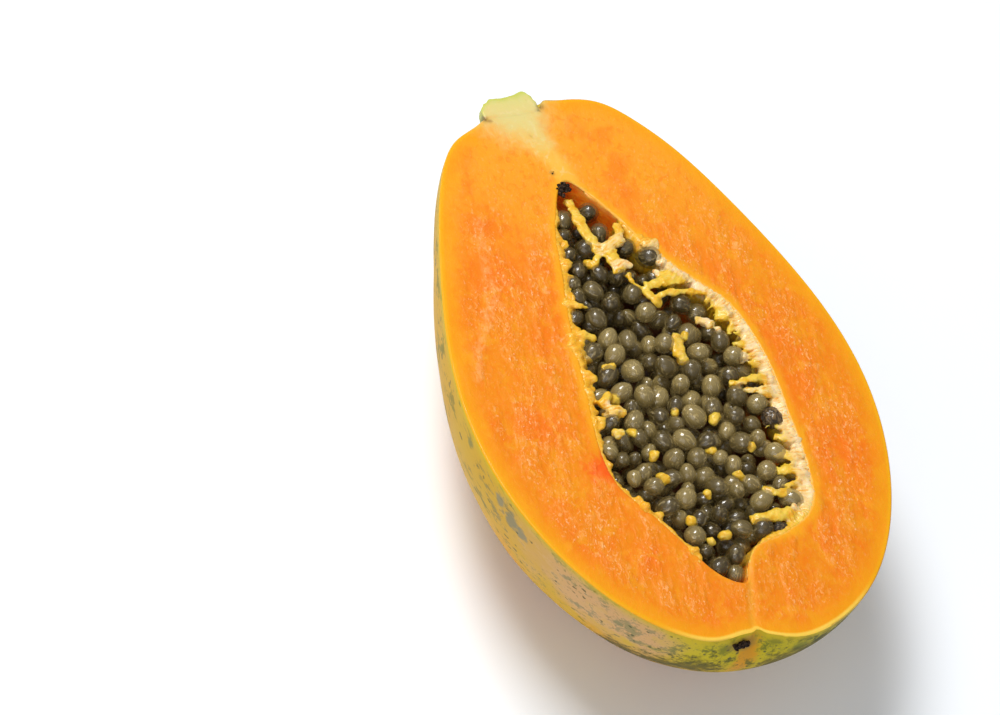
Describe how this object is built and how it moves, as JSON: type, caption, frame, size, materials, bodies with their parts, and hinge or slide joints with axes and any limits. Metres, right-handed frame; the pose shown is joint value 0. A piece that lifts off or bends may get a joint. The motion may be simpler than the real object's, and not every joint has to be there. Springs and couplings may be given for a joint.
{
  "type": "papaya half",
  "caption": "Ripe papaya cut in half lengthwise, lying on its skin: egg-shaped flesh with a seed-filled cavity, pale pulp lining and a stub of the stem.",
  "frame": {"origin": "under the middle of the part's box, on the surface that the half rests on", "axes": "+Z is the normal of the level cut face, up; +Y runs along the fruit towards the stem end; +X is across it"},
  "size_m": [0.116, 0.1806, 0.0556],
  "materials": {
    "flesh_and_skin": "moist orange flesh on the cut face, smooth waxy skin outside, yellow and green with dark specks",
    "stem": "pale green, soft and dull",
    "pulp": "wet fibrous yellow to cream",
    "seeds": "wet glossy jelly coat over dark olive seeds"
  },
  "bodies": {
    "root": {"fruit_half": "flesh_and_skin", "stem_stub": "stem", "pulp": "pulp", "seeds": "seeds"}
  },
  "joints": []
}
